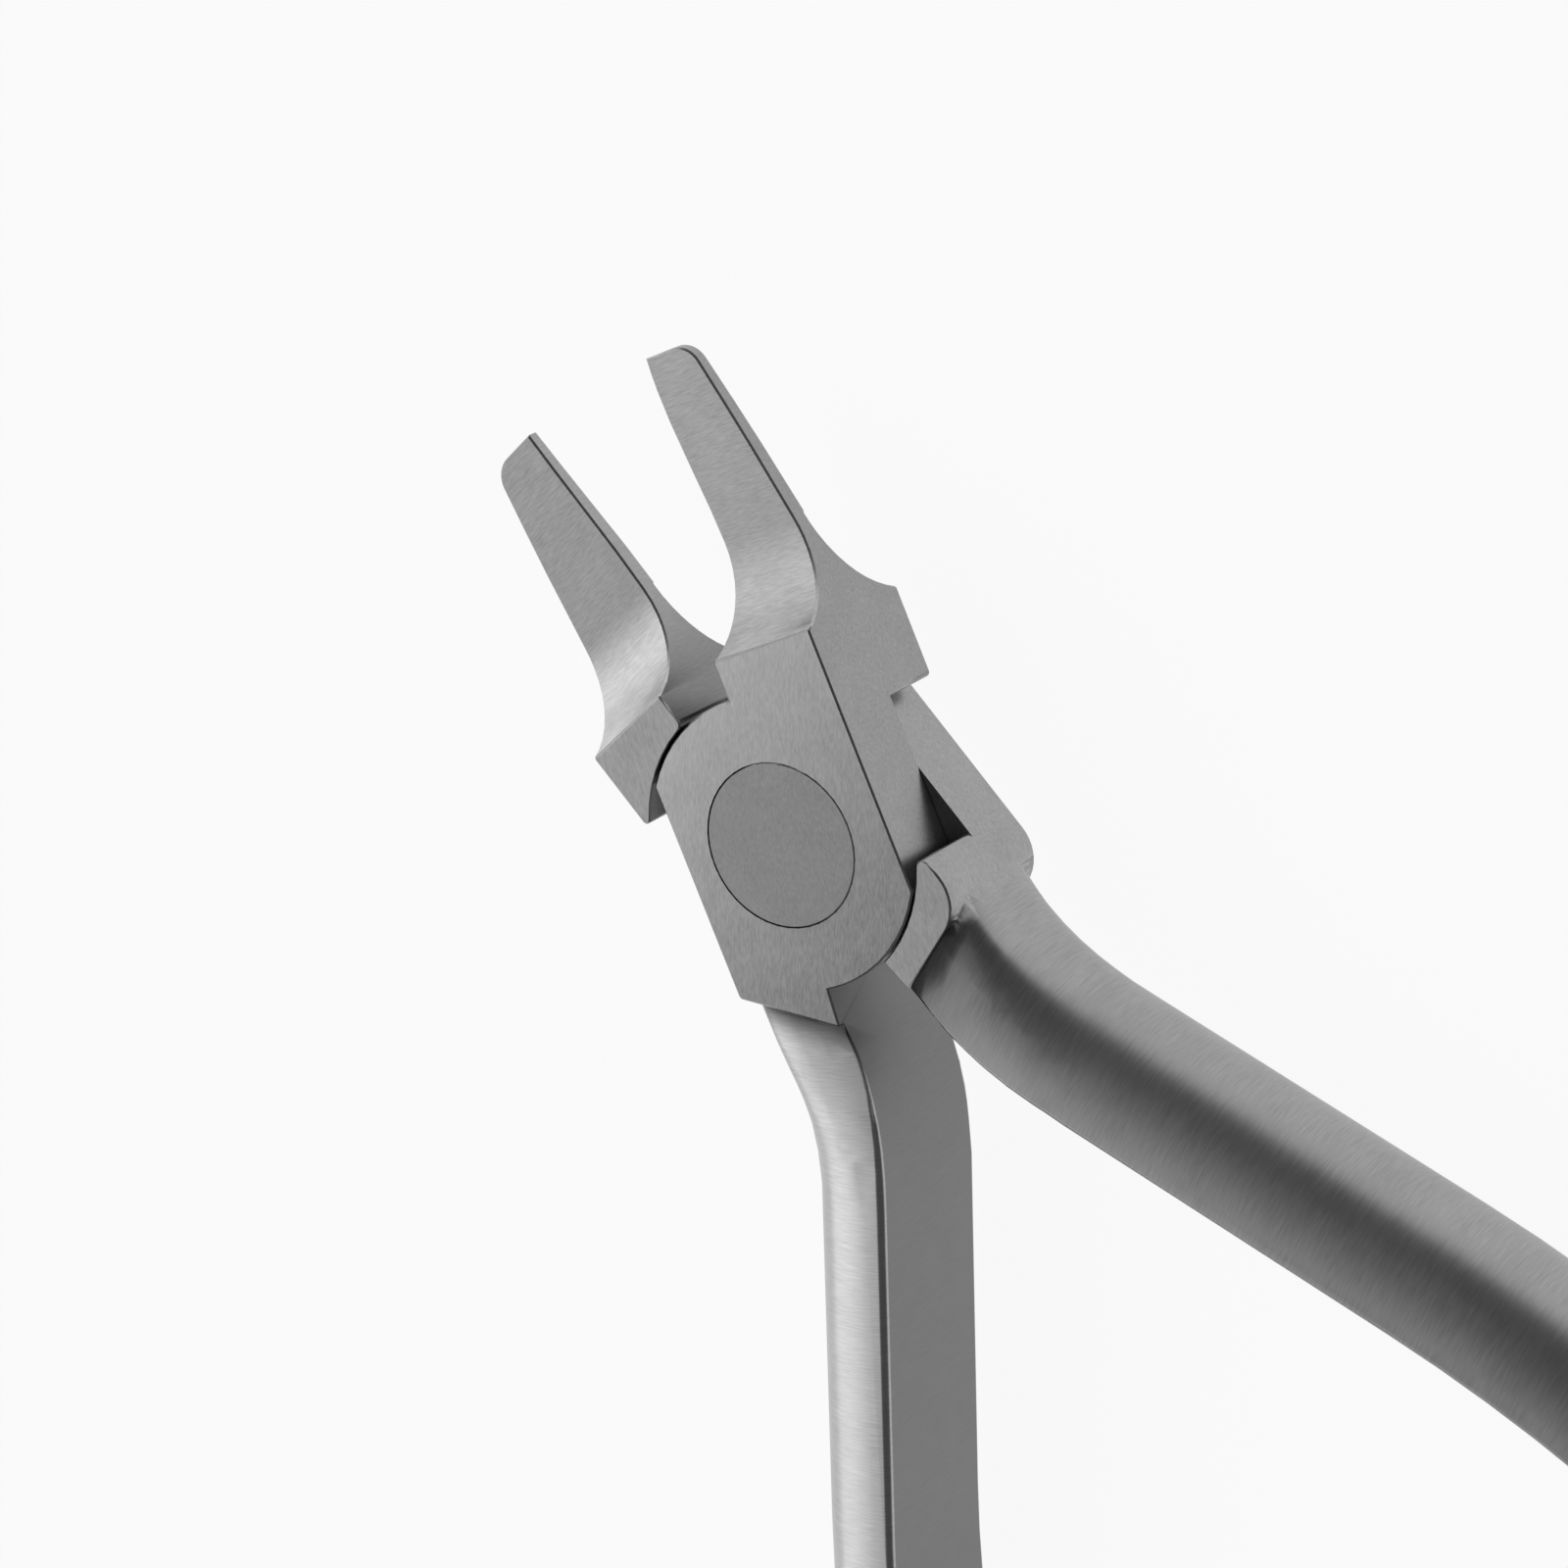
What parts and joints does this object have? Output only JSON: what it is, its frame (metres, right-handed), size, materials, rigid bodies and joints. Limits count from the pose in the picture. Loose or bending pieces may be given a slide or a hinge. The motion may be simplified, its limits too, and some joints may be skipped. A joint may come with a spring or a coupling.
{
  "type": "orthodontic pliers",
  "caption": "Steel orthodontic pliers with a lap joint, a flush pivot pin, thin flat beaks that grip wire, and half-round handles that bow back.",
  "frame": {"origin": "on the axis of the pivot pin, at the back face of the joint", "axes": "+Y towards the beak tips between the two halves, +X to the right as seen from the front, +Z out of the front face along the pin"},
  "size_m": [0.0788, 0.1362, 0.01],
  "materials": {
    "forged_steel": "satin, brushed along the joint and across the handles",
    "pin_steel": "satin, ground flush with the front face"
  },
  "bodies": {
    "back_body": {"back_half": "forged_steel", "pivot_pin": "pin_steel"},
    "front_body": {"front_half": "forged_steel"}
  },
  "joints": [
    {"name": "jaw_pivot", "type": "hinge", "parent": "back_body", "child": "front_body", "pos_m": [0, 0, 0], "axis": [0, 0, 1], "range_deg": [-53, 20.1]}
  ]
}
